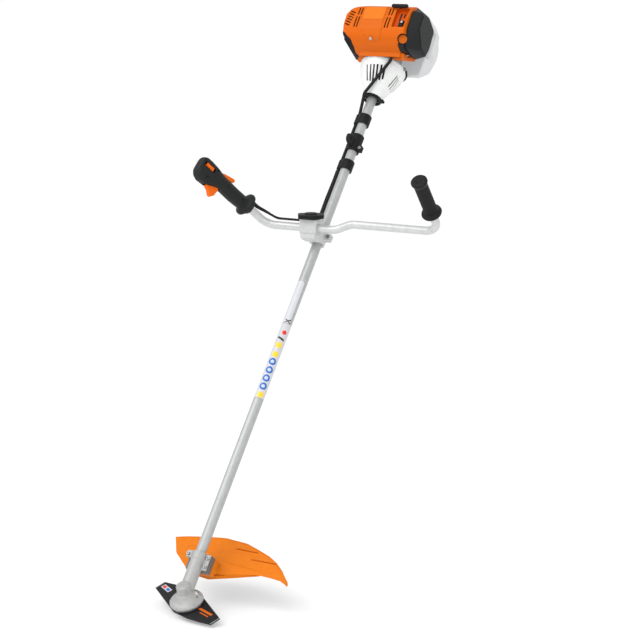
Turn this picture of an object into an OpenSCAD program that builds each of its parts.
// Brush cutter: an angled cutting head, a long drive tube with its handlebar, and a
// two-stroke engine. The origin is the centre of the carrying eyelet and +Z is up.
// The tube rises towards +Y, the engine end; the cutting head is at -Y.
// +X is the operator's left. Names ending in _s are stations along the tube axis from
// the spindle crossing; names ending in _u are heights above that axis.

/* [Layout] */
// Angle between the drive tube and the vertical, degrees
lean = 40.3; // [30:0.1:50]
// Angle between the drive tube and the blade spindle, degrees
head_angle = 60; // [55:1:65]
// Distance from the spindle crossing to the handlebar clamp, along the tube
clamp_s = 1000; // [950:1:1020]
// Height of the handlebar axis above the tube axis
bar_u = 55; // [52:1:60]

/* [Drive tube] */
// Outer diameter of the drive tube
tube_d = 25.4; // [25:0.1:26]
// Wall of the drive tube
tube_wall = 1.5; // [1.2:0.1:2]
// Diameter of the drive shaft
shaft_d = 8; // [7:0.1:8]

/* [Cutting tool] */
// Swept radius of the two-tooth blade
blade_r = 115; // [100:1:118]
// Thickness of the blade
blade_t = 3; // [2:0.1:3]
// Height of the blade underside below the spindle crossing
blade_n = 29; // [28.5:0.1:29.5]

/* [Handlebar] */
// Outer diameter of the handlebar tube
bar_d = 21; // [19:0.1:21]
// Bend radius of the handlebar
bend_r = 42; // [38:1:45]

/* [Engine] */
// Cylinder bore diameter
cyl_bore = 38; // [36:0.1:38]
// Piston stroke
stroke = 25; // [22:0.5:25]

/* [Hidden] */
$fn = 48;

fit = 0.05; // clearance between separate parts
press = 0.03; // clearance of parts fixed on a shaft
tube_r = tube_d / 2;
tube_hole = tube_r + fit;
tube_bore_r = tube_r - tube_wall;
shaft_r = shaft_d / 2;
bar_r = bar_d / 2;
ring_s = 1293;
ring_u = 36;

orange = [1, 0.45, 0.05];
dark = [0.16, 0.17, 0.17];
pale = [0.86, 0.86, 0.87];
metal = [0.72, 0.73, 0.74];

// screws, all pointing down at the tube: [x, station, height under the head, length]
support_screws = [for (x = [-27.5, 27.5]) [x, 1006, 7.05, 13]];
ear_screws = [[25, 76, -1.95, 34], [25, 98, -1.95, 34], [-25, 98, 10.05, 46]];
ring_screws = [[21, 1284, 6.05, 11]];

// ---------- frames ----------
function unit(v) = v / norm(v);
function normal_to(v) = unit(cross(v, abs(v.z) < 0.9 ? [0, 0, 1] : [1, 0, 0]));
// tube frame point from x, station and height
function at(x, station, height) = [x, -height, station];

// tube frame: +Z up the tube, -Y its top side
module on_tube() rotate([-lean, 0, 0]) translate(-at(0, ring_s, ring_u)) children();
// spindle frame: +Z up the blade spindle
module on_head() on_tube() rotate([head_angle, 0, 0]) children();
// clamp frame: upright, centred on the handlebar axis
module on_clamp() on_tube() translate(at(0, clamp_s, bar_u)) rotate([lean, 0, 0]) children();
module frame(origin, ex, ey, ez)
  multmatrix([
    [ex.x, ey.x, ez.x, origin.x],
    [ex.y, ey.y, ez.y, origin.y],
    [ex.z, ey.z, ez.z, origin.z],
    [0, 0, 0, 1]]) children();
// puts the children's +Z on a direction
module along(origin, direction) {
  side = normal_to(direction);
  frame(origin, side, cross(direction, side), direction) children();
}
module spin(count, start = 0)
  for (i = [0 : count - 1]) rotate([0, 0, start + i * 360 / count]) children();

// ---------- basic shapes ----------
module disc(radius, low, high) translate([0, 0, low]) cylinder(r = radius, h = high - low);
module tube(outer, inner, low, high) difference() {
  disc(outer, low, high);
  disc(inner, low - 1, high + 1);
}
module cone(low_r, high_r, low, high)
  translate([0, 0, low]) cylinder(r1 = low_r, r2 = high_r, h = high - low);
module rod(from, to, radius)
  along(from, unit(to - from)) cylinder(r = radius, h = norm(to - from));
// rod from a point towards +X
module x_rod(origin, radius, length)
  translate(origin) rotate([0, 90, 0]) cylinder(r = radius, h = length);
// rod along Y, centred on y = 0
module y_rod(x, z, radius, half)
  translate([x, half, z]) rotate([90, 0, 0]) cylinder(r = radius, h = 2 * half);
// box from [low, high] ranges
module box(x, y, z)
  translate([x[0], y[0], z[0]]) cube([x[1] - x[0], y[1] - y[0], z[1] - z[0]]);
// box in the tube frame from x, station and height ranges
module tube_box(x, station, height) box(x, [-height[1], -height[0]], station);
// prism along x of [station, height] points
module side_prism(low, high, points)
  translate([low, 0, 0]) rotate([90, 0, 90]) linear_extrude(high - low)
    polygon([for (p = points) [-p.y, p.x]]);
// prism upwards of [x, station] points
module plan_prism(low, high, points)
  translate([0, -low, 0]) rotate([90, 0, 0]) linear_extrude(high - low) polygon(points);
// prism along the tube of [x, height] points
module end_prism(low, high, points)
  translate([0, 0, low]) linear_extrude(high - low) polygon([for (p = points) [p.x, -p.y]]);

// turning angle of a path at point i, and how far before the point its bend starts
function turn(path, i) = acos(max(-1, min(1,
  unit(path[i] - path[i - 1]) * unit(path[i + 1] - path[i]))));
function setback(path, i, bend) =
  i == 0 || i == len(path) - 1 ? 0 : bend * tan(turn(path, i) / 2);
// round bar through the points of a path, with one bend radius
module bent(path, bend, radius) {
  last = len(path) - 1;
  for (i = [0 : last - 1]) {
    ahead = unit(path[i + 1] - path[i]);
    rod(path[i] + ahead * max(setback(path, i, bend) - 0.5, 0),
        path[i + 1] - ahead * max(setback(path, i + 1, bend) - 0.5, 0), radius);
  }
  for (i = [1 : last - 1]) {
    ahead = unit(path[i] - path[i - 1]);
    axis = unit(cross(ahead, unit(path[i + 1] - path[i])));
    inward = cross(axis, ahead);
    start = path[i] - ahead * setback(path, i, bend);
    frame(start + inward * bend, -inward, ahead, axis)
      rotate_extrude(angle = turn(path, i)) translate([bend, 0]) circle(radius + 0.12);
  }
}

module screw_holes(screws, low, high)
  for (p = screws) translate([p.x, 0, p.y]) rotate([90, 0, 0]) disc(2.6, low, high);
module bearing(outer, inner, low, high) {
  middle = (outer + inner) / 2;
  difference() {
    tube(outer, inner, low, high);
    tube(middle + 1.2, middle - 1.2, low - 0.1, low + 0.5); // face groove
  }
}

// ---------- drive line ----------
module drive_tube() color("silver") on_tube() tube(tube_r, tube_bore_r, 46, 1466);
module shaft_bushings() color("dimgray") on_tube()
  for (s = [150, 480, 820, 1180]) tube(tube_bore_r - fit, shaft_r + fit, s, s + 40);
module drive_shaft() color(metal) on_tube() disc(shaft_r, 9.5, 1488.5);

// bevel set: the pinion on the tube axis and the crown wheel on the spindle share one apex
pinion_teeth = 15;
crown_teeth = 21;
pinion_cone = 43.9; // pitch cone half angles
crown_cone = 180 - head_angle - pinion_cone;
cone_outer = 16; // tooth ends, as distances from the apex
cone_inner = 12;
tooth_tip = 0.6; // above and below the pitch cone
tooth_root = 0.9;
spindle_r = 5;
pinion_bore = 11; // bearing seats in the housing
output_bore = 13;

// profile point at a distance from the apex, raised off the pitch cone; side is the sign of z
function cone_point(cone, distance, rise, side) =
  [distance * sin(cone) + rise * cos(cone), side * (distance * cos(cone) - rise * sin(cone))];
module pinion_gear() color(metal) on_tube() difference() {
  rotate_extrude() polygon([
    [shaft_r + press, 8.6],
    cone_point(pinion_cone, cone_inner, tooth_tip, 1),
    cone_point(pinion_cone, cone_outer, tooth_tip, 1),
    cone_point(pinion_cone, cone_outer, -tooth_root, 1),
    [9.5, 14.6], [6, 16.4], [6, 16.9], [shaft_r + press, 16.9]]);
  spin(pinion_teeth, 6) rotate([0, pinion_cone, 0])
    box([-tooth_root, 4], [-1.5, 1.5], [cone_inner - 5, cone_outer + 6]);
}
module crown_gear() color(metal) on_head() difference() {
  rotate_extrude() polygon([
    [spindle_r + press, -9], [13.5, -9], [16.2, -7.4],
    cone_point(crown_cone, cone_outer, tooth_tip, -1),
    cone_point(crown_cone, cone_inner, tooth_tip, -1),
    [10.6, -4.4], [spindle_r + press, -4.4]]);
  spin(crown_teeth, 180 / crown_teeth - 90) rotate([0, 180 - crown_cone, 0])
    box([-4, tooth_root], [-1.5, 1.5], [cone_inner - 3, cone_outer + 4]);
}
module output_shaft() color(metal) on_head() {
  disc(spindle_r, -36, -4.2);
  disc(7.5, -24.3, -23.1);
}
module pinion_bearings() color(metal) on_tube()
  for (s = [17.2, 25]) bearing(pinion_bore - fit, shaft_r + fit, s, s + 7);
module output_bearings() color(metal) on_head()
  for (z = [-15.6, -22.4]) bearing(output_bore - fit, spindle_r + fit, z, z + 6.2);

module on_plug() along([15.5, 13, -11], unit([0.62, 0.5, 0.6])) children();
module gear_head_housing() color("lightgray") difference() {
  union() {
    on_tube() {
      disc(17, 12, 90);
      disc(18.3, 88, 107);
      tube_box([15, 30], [66, 107], [-5.7, -2]);
      tube_box([-30, -15], [90, 107], [-5.7, 10]);
    }
    on_head() {
      rotate_extrude() polygon([
        [0, -22.8], [15, -22.8], [15, -20], [37, -20], [37, -22.8], [41, -22.8],
        [41, -17], [38, -13.5], [30, -9], [24, -3], [20, 4], [0, 4]]);
      disc(14.6, 0, 27);
      cone(14.6, 12.6, 27, 29);
    }
  }
  on_tube() {
    disc(tube_hole, 44, 120);
    disc(tube_bore_r, 33, 50);
    disc(pinion_bore, 16.5, 36);
    disc(13.4, 6, 17);
    disc(6, 14, 34);
  }
  on_head() {
    disc(16.9, -9.2, -1.2);
    disc(output_bore, -22.9, -9);
    cone(16.9, 9, -1.3, 8);
    disc(9, 7.9, 22);
  }
  // socket slit and clamp screw holes
  on_tube() {
    tube_box([-32, 32], [60, 120], [-7.65, -5.7]);
    screw_holes(ear_screws, -40, 20);
  }
  // stop pin hole and grease hole
  on_head() {
    translate([27, 7, 0]) disc(2.6, -20.5, 19.5);
    on_plug() {
      disc(3 + fit, -7, 13);
      disc(5.2, 4.9, 16.9);
    }
  }
}
module grease_plug() color("white") on_head() on_plug() {
  disc(3, -3, 5);
  difference() {
    disc(5, 5, 8.5);
    disc(2.2, 6.5, 10.5, $fn = 6);
  }
}

// ---------- cutting head ----------
module thrust_plate() color(metal) on_head() rotate_extrude() polygon([
  [spindle_r + fit, -25.9], [12, -25.9], [12, -25.2], [34, -24.9], [40.5, -24.4],
  [40.5, -23.3], [34, -23.4], [12.6, -23.6], [7.6, -23.6], [7.6, -24.4],
  [spindle_r + fit, -24.4]]);
// one half of the blade outline, [x, y]; the other is turned half round
blade_half = [[-110.5, 31.5], [-100, 57.5], [-65, 55.5], [-30, 51.5], [15, 39], [40, 20.5]];
module cutting_blade() color([0.08, 0.08, 0.08]) on_head() translate([0, 0, -blade_n])
  difference() {
    intersection() {
      linear_extrude(blade_t) polygon([for (k = [1, -1], p = blade_half) k * p]);
      disc(blade_r + 2, -1, blade_t + 1);
    }
    disc(10, -1, blade_t + 1);
  }
module rider_plate() color(metal) on_head() rotate_extrude() polygon([
  [spindle_r + fit, -31.2], [spindle_r + fit, -29.05], [24, -29.05], [26, -33], [34, -38],
  [35.5, -42.5], [30, -46.5], [20, -48], [13.6, -48], [13.6, -46], [19, -46],
  [29, -44.6], [33, -41.8], [31.6, -39.4], [23.5, -34.5], [13, -31.2]]);
module collar_nut() color(metal) on_head() difference() {
  union() {
    disc(8.6, -39, -33);
    disc(11.5, -33, -31.25);
  }
  disc(spindle_r + fit, -36.5, -30);
  disc(3, -39.5, -36.3, $fn = 6);
}

// ---------- guard ----------
// outline in the spindle frame, [x, y]
guard_outline = [
  [-150, 200], [-118, 210], [-81, 218], [-21, 228], [5, 226], [49, 221], [88, 206],
  [128, 189], [159, 170], [188, 145], [208, 123], [222, 109], [224, 97], [201, 109],
  [181, 112], [142, 115], [66, 103], [9, 90.5], [-30, 84], [-50, 90], [-114, 144]];
// regions where the rim is deep and where it is shallow
deep_rim = [[-160, 140], [-155, 210], [0, 240], [160, 195], [205, 140], [150, 135],
  [60, 160], [-80, 160]];
shallow_rim = [[-160, 140], [-155, 210], [0, 240], [240, 195], [240, 90], [196, 116],
  [60, 160], [-80, 160]];
bracket_x = [-30, 30];
bracket_s = [66, 107.8];
bracket_low = -26;
module guard() color(orange) difference() {
  union() {
    on_head() {
      translate([0, 0, -3]) linear_extrude(3) polygon(guard_outline);
      intersection() {
        translate([0, 0, -15]) linear_extrude(13) difference() {
          polygon(guard_outline);
          offset(delta = -3) polygon(guard_outline);
        }
        union() {
          translate([0, 0, -15]) linear_extrude(14) polygon(deep_rim);
          translate([0, 0, -9]) linear_extrude(8) polygon(shallow_rim);
        }
      }
      // tapering wall on the edge nearest the spindle
      translate([9, 90.5, 0]) rotate([90, 0, 10.6]) translate([0, 0, -3])
        linear_extrude(3) polygon([[-38, -15], [16, -15], [133, -3], [133, -1], [-38, -1]]);
    }
    // pad under the bracket
    intersection() {
      on_tube() tube_box(bracket_x, bracket_s, [-60, bracket_low - fit]);
      on_head() box([-30, 30], [50, 140], [-3, 60]);
    }
  }
  on_tube() screw_holes(ear_screws, -40, 20);
}
module guard_bracket() color(metal) on_tube() difference() {
  tube_box(bracket_x, bracket_s, [bracket_low, -7.7]);
  disc(18.3 + fit, 40, 130);
  screw_holes(ear_screws, -40, 20);
}

// ---------- carrying ring, clips, cable ----------
collar_r = 17.5; // carrying ring and clip bodies
eyelet_r = 13;
cable_x = -18.6; // the straight run of the throttle cable
cable_u = 2;
module carrying_ring() color(dark) on_tube() difference() {
  union() {
    disc(collar_r, 1274, 1324);
    tube_box([-3.5, 3.5], [ring_s - eyelet_r, ring_s + eyelet_r], [15, ring_u]);
    x_rod(at(-3.5, ring_s, ring_u), eyelet_r, 7);
    tube_box([14, 26], [1276, 1292], [-6, 6]);
  }
  disc(tube_hole, 1260, 1340);
  translate(at(cable_x, 0, cable_u)) disc(4.8, 1260, 1350);
  x_rod(at(-10, ring_s, ring_u), 6.5, 20);
  tube_box([12, 30], [1260, 1340], [-0.8, 0.8]);
  screw_holes(ring_screws, -10, 10);
}
module cable_clips() color(dark) on_tube() for (s = [[1215, 1243], [1360, 1389]]) difference() {
  union() {
    disc(collar_r, s[0], s[1]);
    translate(at(cable_x, 0, cable_u)) disc(6.6, s[0], s[1]);
  }
  disc(tube_hole, s[0] - 1, s[1] + 1);
  translate(at(cable_x, 0, cable_u)) disc(4.6, s[0] - 1, s[1] + 1);
}
module throttle_cable() color("black") on_tube() bent([
  at(-12.71, 1040.333, 32.344), at(cable_x, 1068, cable_u), at(cable_x, 1396, cable_u),
  at(-7.5, 1441, 34.5), at(46, 1532, 55.5), at(50.5, 1543.2, 63)], 18, 4.25);

// ---------- handlebar support and clamp ----------
support_r = 19;
support_s = [985, 1027];
support_ear_x = [-34, 34];
support_ear_s = [997, 1015];
half_gap = 0.4; // the support and its cap each stop this far from the tube's mid-plane
jaw_x = [-23.7, 23.7];
module handle_support() color(pale) difference() {
  union() {
    on_tube() {
      side_prism(-21, 21, [
        [978.5, 61.5], [969, 55], [972, 38], [978, 22], [985, 14], [985, half_gap],
        [1027, half_gap], [1027, 14], [1013, 22.5], [1005, 30]]);
      disc(support_r, support_s[0], support_s[1]);
      tube_box(support_ear_x, support_ear_s, [half_gap, 7]);
    }
    on_clamp() disc(19, -24, -12.6);
  }
  on_tube() {
    disc(tube_hole, 960, 1050);
    tube_box([-50, 50], [960, 1050], [-40, half_gap]);
    screw_holes(support_screws, -20, 30);
  }
  on_clamp() {
    disc(40, -12.6, 20);
    disc(5.1, -30, -10);
  }
}
module support_cap() color(pale) on_tube() difference() {
  union() {
    disc(support_r, support_s[0], support_s[1]);
    tube_box(support_ear_x, support_ear_s, [-7, -half_gap]);
  }
  disc(tube_hole, 960, 1050);
  tube_box([-50, 50], [960, 1050], [-half_gap, 60]);
  screw_holes(support_screws, -40, 20);
}
module bar_hole() x_rod([-40, 0, 0], bar_r + fit, 80);
module lower_jaw() color(pale) on_clamp() difference() {
  union() {
    box(jaw_x, [-19, 19], [-12.5, -10.6]);
    box(jaw_x, [-10.3, 10.3], [-12.5, -4.5]);
  }
  bar_hole();
  disc(3.1, -20, 10);
}
module upper_jaw() color(pale) on_clamp() difference() {
  box(jaw_x, [-19, 19], [-10.4, 24]);
  bar_hole();
  box([-40, 40], [-bar_r - fit, bar_r + fit], [-20, 0]);
  disc(3.1, -20, 40);
}
module clamp_knob() color(dark) on_clamp() {
  difference() {
    union() {
      disc(27, 24.3, 33);
      spin(6) translate([23, 0, 0]) disc(9, 24.3, 33);
      disc(14, 33, 36);
    }
    spin(6, 30) translate([36, 0, 0]) disc(9, 20, 40);
  }
  disc(3, 11.5, 24.4);
}

// ---------- handlebar ----------
// control side, at -X: up the handle, square to it towards the engine, and across it
control_corner = at(-131, clamp_s, bar_u);
control_up = unit([-0.392, -0.914, 0.110]);
control_back = unit([0, 0, 1] - control_up * control_up.z);
control_across = cross(control_up, control_back);
// left grip side, at +X
grip_corner = at(358.6, clamp_s + 20, bar_u + 1);
grip_up = unit([0.041, -0.993, 0.11]);
bar_path = [
  control_corner + control_up * 132, control_corner,
  at(71, clamp_s, bar_u), at(111, clamp_s + 20, bar_u + 1),
  grip_corner, grip_corner + grip_up * 190];
module handlebar_tube() color("silver") on_tube() difference() {
  bent(bar_path, bend_r, bar_r);
  rod(control_corner + control_up * 70, control_corner + control_up * 133, bar_r - 2);
  rod(grip_corner + grip_up * 60, grip_corner + grip_up * 191, bar_r - 2);
}
module left_grip() color(dark) on_tube() along(grip_corner, grip_up) difference() {
  rotate_extrude() polygon([
    [0, 68], [14, 68], [24.5, 71], [26, 75], [24.5, 78], [17.5, 81], [16.5, 86],
    [16.5, 178], [18, 185], [20.5, 189], [20.5, 193], [17, 196], [0, 197]]);
  disc(bar_r + fit, 60, 190.5);
}

// ---------- control handle ----------
// handle frame: +X towards the engine, +Y to the operator's right, +Z up the handle
module on_handle() on_tube()
  frame(control_corner, control_back, control_across, control_up) children();
// prism along y of [x, z] points
module handle_prism(low, high, points)
  translate([0, high, 0]) rotate([90, 0, 0]) linear_extrude(high - low) polygon(points);
handle_outline = [
  [-17, 66], [-23, 100], [-25, 130], [-24, 165], [-29, 186], [-41, 212], [-43, 236],
  [-30, 250], [-6, 256], [12, 252], [19, 228], [19, 205], [15, 182], [14, 130], [16, 66]];
trigger_pivot = [-20, 206]; // [x, z]
lockout_pivot = [12, 188];
// y range of the handle half on one side (1 or -1)
function half_range(side, width) = side > 0 ? [fit, width] : [-width, -fit];
module handle_half(side) difference() {
  width = half_range(side, 17);
  union() {
    handle_prism(width[0], width[1], handle_outline);
    intersection() {
      disc(31, 78, 87);
      box([-60, 60], half_range(side, 40), [0, 300]);
    }
  }
  disc(bar_r + fit, 50, 134);
  box([-70, 6], [-6.6, 6.6], [171, 218]); // trigger room
  box([4, 50], [-5.6, 5.6], [140, 196]); // lockout room
  box([-8, 5], [-30, -10], [214, 250]); // switch room
  y_rod(trigger_pivot.x, trigger_pivot.y, 2.56, 8.7);
  y_rod(lockout_pivot.x, lockout_pivot.y, 2.26, 7.7);
}
module control_handle() color(dark) on_handle() handle_half(1);
module control_handle_cover() color(dark) on_handle() handle_half(-1);
module throttle_trigger() color(orange) on_handle() {
  y_rod(trigger_pivot.x, trigger_pivot.y, 2.5, 8.5);
  handle_prism(-6, 6, [
    [-20, 212], [-14, 208], [-14, 200], [-22, 180], [-29, 175], [-50, 179], [-57, 185],
    [-57, 190], [-47, 200], [-42, 212]]);
}
module trigger_lockout() color(orange) on_handle() {
  y_rod(lockout_pivot.x, lockout_pivot.y, 2.2, 7.5);
  handle_prism(-5, 5, [
    [9, 191], [17, 189], [22, 178], [29, 150], [28, 145], [22, 144], [18, 150], [9, 180]]);
}
module stop_switch() color(orange) on_handle() {
  box([-6, 3], [-18.5, -10.6], [220, 244]);
  box([-4, 1], [-20, -18.4], [229, 235]);
}
module handle_cable() color("black") on_tube() {
  cable_line = control_corner + control_back * 19.6;
  bent([
    at(-26, clamp_s + 15, bar_u + 10), at(-100, clamp_s + 15, bar_u + 10),
    cable_line + control_up * 45, cable_line + control_up * 77.5], 30, 3);
}

// ---------- clutch ----------
cylinder_s = 1590; // station of the cylinder axis
bush_r = 21;
hub_r = 9; // clutch drum hub
hub_bearing_r = 14; // bearing seats
crank_bearing_r = 16;
journal_r = 7.5;
module clutch_housing() color(pale) on_tube() difference() {
  rotate_extrude() polygon([
    [0, 1448.1], [25.5, 1448.1], [27, 1453], [33, 1467], [44, 1489], [53, 1510],
    [60, 1529], [62, 1538], [62, 1546], [0, 1546]]);
  disc(bush_r + fit, 1440, 1462);
  disc(tube_hole, 1430, 1467);
  disc(tube_bore_r, 1466, 1470);
  disc(hub_bearing_r, 1469, 1486.1);
  disc(38.5, 1486, 1512);
  disc(49, 1511.9, 1560);
  for (a = [-64 : 18 : 8]) rotate([0, 0, a - 90]) box([45, 85], [-2.2, 2.2], [1493, 1533]);
}
module vibration_bush() color(dark) on_tube() tube(bush_r, tube_hole, 1449, 1461.9);
module neck_clamp() color([0.3, 0.3, 0.32]) on_tube() difference() {
  union() {
    disc(26.5, 1442, 1448);
    tube_box([16, 32], [1442, 1448], [-14, -2]);
  }
  disc(bush_r, 1440, 1450);
  tube_box([12, 40], [1440, 1450], [-8.6, -7.4]);
}
module clutch_drum() color(metal) on_tube() difference() {
  union() {
    tube(36, 33.5, 1488.6, 1510);
    disc(36, 1488.6, 1491);
    disc(hub_r, 1470.5, 1491);
  }
  disc(shaft_r + press, 1460, 1488.6);
}
module engine_bearings() color(metal) on_tube() {
  bearing(hub_bearing_r - fit, hub_r + fit, 1471, 1486);
  bearing(crank_bearing_r - fit, journal_r + fit, 1549, 1560);
  bearing(crank_bearing_r - fit, journal_r + fit, 1609.2, 1620);
}
module flywheel() color(metal) on_tube() difference() {
  union() {
    disc(12, 1494, 1515);
    disc(46, 1514, 1518);
    spin(18) box([26, 45], [-1.2, 1.2], [1517.9, 1530.9]);
    disc(16, 1517.9, 1530);
  }
  disc(journal_r + press, 1480, 1540);
}
module clutch_shoes() color([0.35, 0.33, 0.3]) on_tube() spin(2) difference() {
  tube(32, 12.5, 1495, 1508.5);
  box([-40, 40], [-40, 2], [1490, 1512]);
}
module clutch_spring() color(metal) on_tube()
  rotate_extrude() translate([20, 1493.1]) circle(1.2);

// ---------- crank, piston, cylinder ----------
crank_r = stroke / 2;
cyl_r = cyl_bore / 2;
pin_u = crank_r + 44; // piston pin height, one rod length above the crank pin
pin_r = 5;
crank_pin_r = 6;
module crankshaft() color(metal) on_tube() {
  disc(journal_r, 1496, 1575.1);
  disc(19, 1575, 1581);
  translate(at(0, 0, crank_r)) {
    disc(crank_pin_r, 1580.9, 1583);
    disc(crank_pin_r, 1597, 1599.1);
  }
  disc(19, 1599, 1605);
  disc(journal_r, 1604.9, 1630);
}
module crankcase() color(pale) on_tube() difference() {
  union() {
    disc(48.9, 1535, 1541);
    disc(34, 1540.9, 1625);
    tube_box([-27, 27], [cylinder_s - 27, cylinder_s + 27], [-33, 35]);
  }
  disc(27, cylinder_s - 18, cylinder_s + 18);
  disc(crank_bearing_r, 1548.9, 1572.1);
  disc(crank_bearing_r, 1607.9, 1620.2);
  disc(9, 1530, 1630);
  on_axis() disc(22 + fit, 0, 60);
}
// cylinder frame inside the tube frame: +Z up the cylinder axis, +Y up the tube
module on_axis() translate([0, 0, cylinder_s]) rotate([90, 0, 0]) children();
module on_cylinder() on_tube() on_axis() children();
module cylinder_part() color("silver") on_cylinder() difference() {
  union() {
    disc(22, 28, 35.3);
    box([-26, 26], [-24, 24], [35.2, 40]);
    disc(25, 39.9, 88);
    for (z = [45 : 6 : 81]) disc(33.5, z, z + 2.2); // cooling fins
    box([-36, -24], [-11, 11], [60, 82]);
    box([24, 36], [-11, 11], [40, 62]);
  }
  disc(cyl_r, 20, 75);
  disc(5.1, 70, 100);
  x_rod([-50, 0, 71], 7, 35);
  x_rod([15, 0, 51], 7, 35);
}
module piston() color("silver") on_cylinder() difference() {
  disc(cyl_r - fit, pin_u - 12, pin_u + 15);
  disc(15.5, pin_u - 13, pin_u + 10);
  y_rod(0, pin_u, pin_r + press, 30);
}
module piston_pin() color(metal) on_cylinder() y_rod(0, pin_u, pin_r, 17);
module connecting_rod() color(metal) on_cylinder() difference() {
  union() {
    y_rod(0, crank_r, 9.5, 6);
    y_rod(0, pin_u, 8, 6);
    box([-4, 4], [-3, 3], [crank_r + 5, pin_u - 5]);
  }
  y_rod(0, crank_r, 6.5, 20);
  y_rod(0, pin_u, pin_r + press, 20);
}
module spark_plug() color("white") on_cylinder() {
  disc(5, 76.5, 88.2);
  disc(9, 88.1, 93.1, $fn = 6);
  disc(6, 93, 112);
  disc(8.5, 112, 122);
}

// ---------- muffler and shroud ----------
module muffler() color([0.4, 0.4, 0.4]) on_tube() {
  tube_box([-71, -41], [1564, 1611], [42, 104]);
  x_rod(at(-41.2, cylinder_s, 71), 9, 5);
}
module muffler_guard() color(dark) on_tube() difference() {
  intersection() {
    end_prism(1500, 1700, [
      [-110, 10], [-46.6, 10], [-46.6, 34], [-58.7, 60], [-70.7, 95], [-80.7, 111.4],
      [-110, 111.4]]);
    plan_prism(16, 108, [
      [-58, 1548], [-73, 1550], [-82, 1560], [-84, 1598], [-72, 1634], [-58, 1642]]);
  }
  plan_prism(12, 104.5, [
    [-50, 1551], [-71.7, 1552.8], [-79, 1561.5], [-81, 1597.5], [-70, 1632], [-50, 1645]]);
  plan_prism(12, 30, [[-70, 1540], [-90, 1566], [-90, 1650], [-50, 1650], [-50, 1540]]);
  for (s = [1566 : 8 : 1614]) tube_box([-90, -74], [s, s + 3.5], [36, 98]);
}

// shroud side outlines, [station, height], and plan outlines, [x, station]
shroud_side = [
  [1547, 50], [1547, 66], [1554, 96], [1566, 120], [1584, 131], [1600, 132], [1651, 131],
  [1672, 108], [1682, 90], [1682, 50]];
shroud_side_inner = [
  [1540, 40], [1549.8, 40], [1549.8, 66], [1557, 95], [1568, 117.5], [1585, 127.5],
  [1601, 129], [1649.5, 128], [1669, 107], [1679, 90], [1679, 40]];
shroud_plan = [
  [-50, 1540], [-72, 1550], [-83, 1570], [-85, 1600], [-87, 1628], [-78, 1643],
  [-58, 1656], [-40, 1690], [77.5, 1690], [77.5, 1540]];
shroud_plan_inner = [
  [-47, 1530], [-70, 1552.5], [-80.2, 1571.5], [-82, 1600], [-84, 1626.6], [-76, 1640.5],
  [-56.3, 1653.2], [-38, 1688], [74.5, 1688], [74.5, 1530]];
module on_choke() along(at(89, 1570, 102), unit(at(0.35, -0.5, 0.79))) children();
module choke_hole() on_choke() disc(14.6, -14, 30);
module engine_shroud() color(orange) on_tube() difference() {
  union() {
    // part reaching over the air filter
    side_prism(77.4, 98, [
      [1556.8, 101.5], [1566, 120], [1584, 131], [1600, 132], [1651, 131], [1672, 108],
      [1676.5, 101.5]]);
    intersection() {
      union() {
        side_prism(-88, 77.5, shroud_side);
        side_prism(-48, 77.5, [[1547, 40], [1547, 62], [1560, 74], [1578, 74], [1578, 40]]);
      }
      plan_prism(20, 160, shroud_plan);
    }
  }
  side_prism(74, 95, [
    [1571, 104.5], [1576, 118], [1586, 127.5], [1601, 129], [1649.5, 128], [1668, 108],
    [1669, 104.5]]);
  intersection() {
    side_prism(-88, 74.5, shroud_side_inner);
    plan_prism(0, 150, shroud_plan_inner);
  }
  // room for the muffler guard
  end_prism(1500, 1720, [
    [-110, 20], [-46, 20], [-46, 34], [-58, 60], [-70, 95], [-80, 112], [-110, 112]]);
  side_prism(-48, 74.5, [[1549.8, 30], [1549.8, 62], [1562, 71.5], [1580, 71.5], [1580, 30]]);
  // slots and opening in the top
  for (x = [-58, -52, 24, 30], s = [1584, 1612]) tube_box([x, x + 3], [s, s + 22], [124, 140]);
  tube_box([56, 93], [1594, 1646], [126, 140]);
  choke_hole();
}

// ---------- carburetor and air filter ----------
module carburetor() color(metal) on_tube() {
  tube_box([40, 70], [cylinder_s - 15, cylinder_s + 15], [34, 66]);
  x_rod(at(36.3, cylinder_s, 51), 10, 4);
  x_rod(at(70, cylinder_s, 51), 13, 4);
}
module air_filter_cover() color(dark) on_tube() difference() {
  hull() {
    side_prism(78, 80, [
      [1584, -10], [1578, 22], [1558, 62], [1556, 86], [1590, 92], [1616, 90], [1645, 94],
      [1672, 98], [1700, 70], [1700, 10], [1660, -16]]);
    side_prism(100, 102, [
      [1564, 24], [1556, 60], [1550, 94], [1594, 119], [1648, 122], [1684, 70], [1684, 15],
      [1600, 2]]);
    side_prism(124, 126, [
      [1570, 24], [1566, 60], [1602, 108], [1652, 112], [1664, 74], [1654, 26], [1598, 18]]);
  }
  hull() {
    side_prism(77, 80, [
      [1592, -4], [1586, 24], [1566, 62], [1564, 82], [1594, 88], [1640, 90], [1670, 94],
      [1694, 68], [1694, 12], [1658, -10]]);
    side_prism(120, 121, [
      [1576, 28], [1572, 60], [1604, 102], [1648, 106], [1658, 72], [1650, 32], [1600, 24]]);
  }
  tube_box([70, 98.3], [1500, 1720], [101.2, 150]);
  choke_hole();
}
module choke_knob() color(orange) on_tube() on_choke() {
  difference() {
    disc(13, -4, 3);
    box([-16, -11.5], [-2, 2], [-6, 6]);
  }
  disc(4, -12, -3.9);
}
module air_filter_element() color([0.75, 0.73, 0.65]) on_tube()
  tube_box([86, 108], [1596, 1650], [30, 80]);

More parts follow.
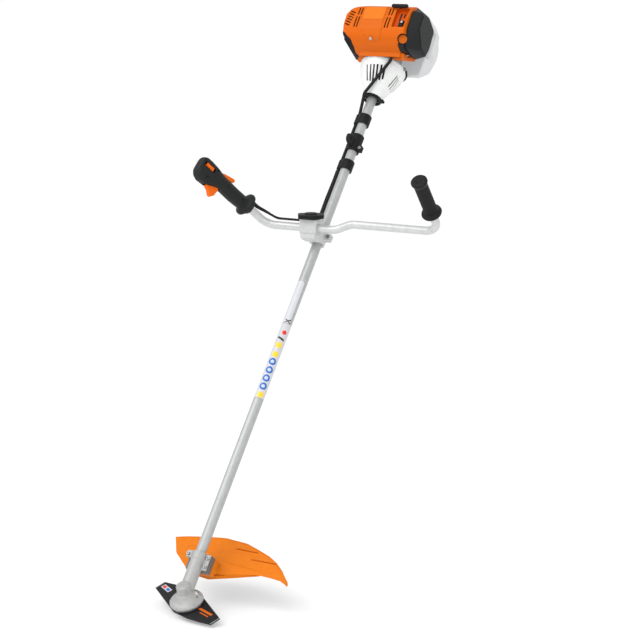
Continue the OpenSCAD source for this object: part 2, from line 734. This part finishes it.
// ---------- fuel tank ----------
filler_s = 1650;
filler_u = -74;
filler_r = 12;
module fuel_tank() color([0.92, 0.93, 0.93]) on_tube() difference() {
  union() {
    side_prism(-62, 88, [
      [1556, -38], [1553, -48], [1597, -89], [1653, -103], [1686, -92], [1700, -70],
      [1700, -55], [1620, -55], [1618, -38]]);
    side_prism(60, 88, [
      [1690, -80], [1695, -55.1], [1703, -52], [1703, 15], [1712, 15], [1718, -40],
      [1712, -75]]);
  }
  side_prism(-59, 85, [
    [1558.5, -41], [1557, -47.5], [1598.5, -86.2], [1652.8, -99.9], [1684, -89.5],
    [1697, -69.5], [1697, -58], [1617, -58], [1615, -41]]);
  x_rod(at(-70, filler_s, filler_u), filler_r + fit, 12);
}
module fuel_cap() color(dark) on_tube() translate(at(0, filler_s, filler_u)) rotate([0, -90, 0]) {
  disc(filler_r, 59.5, 62.5);
  difference() {
    disc(17, 62.4, 74);
    spin(12) translate([18.5, 0, 0]) disc(2.4, 60, 80);
  }
  box([-14, 14], [-2.5, 2.5], [73.9, 78]);
}

// ---------- starter ----------
module starter_housing() color(dark) on_tube() difference() {
  rotate_extrude() polygon([
    [0, 1625.3], [52, 1625.3], [52, 1652], [46, 1670], [30, 1678], [0, 1680]]);
  rotate_extrude() polygon([
    [0, 1620], [49, 1620], [49, 1651], [43.5, 1667], [29, 1675], [6, 1676.5], [6, 1634],
    [0, 1634]]);
  spin(12) box([28, 40], [-2, 2], [1660, 1700]);
}
module starter_pulley() color([0.3, 0.3, 0.32]) on_tube() rotate_extrude() polygon([
  [6.06, 1636], [28, 1636], [28, 1638.5], [25, 1640], [25, 1644], [28, 1645.5], [28, 1648],
  [6.06, 1648]]);
module starter_grip() color(dark) on_tube() {
  x_rod(at(49, 1650, 139.5), 5.5, 38);
  for (x = [49, 87]) translate(at(x, 1650, 139.5)) sphere(5.5);
  translate(at(68, 1650, 132.2)) rotate([90, 0, 0]) cylinder(r = 4, h = 4);
}

// ---------- fasteners ----------
module machine_screws() color(metal) on_tube()
  for (p = concat(support_screws, ear_screws, ring_screws)) along(at(p[0], p[1], p[2]), at(0, 0, 1)) {
    disc(2.5, -p[3], 0.01);
    difference() {
      disc(4.2, 0, 4.2);
      disc(2.1, 2.2, 5.2, $fn = 6);
    }
  }

drive_tube();
shaft_bushings();
gear_head_housing();
grease_plug();
pinion_bearings();
output_bearings();
guard();
guard_bracket();
carrying_ring();
cable_clips();
handle_support();
support_cap();
throttle_cable();
clutch_housing();
vibration_bush();
neck_clamp();
crankcase();
engine_bearings();
cylinder_part();  // cylinder
spark_plug();
muffler();
muffler_guard();
engine_shroud();
carburetor();
air_filter_element();
air_filter_cover();
fuel_tank();
starter_housing();
machine_screws();
drive_shaft();
pinion_gear();
clutch_drum();
output_shaft();
crown_gear();
thrust_plate();
cutting_blade();
rider_plate();
collar_nut();
crankshaft();
flywheel();
clutch_shoes();
clutch_spring();
piston();
piston_pin();
connecting_rod();
lower_jaw();
upper_jaw();
clamp_knob();
handlebar_tube();
left_grip();
control_handle();
control_handle_cover();
handle_cable();
throttle_trigger();
trigger_lockout();
stop_switch();
choke_knob();
starter_grip();
starter_pulley();
fuel_cap();
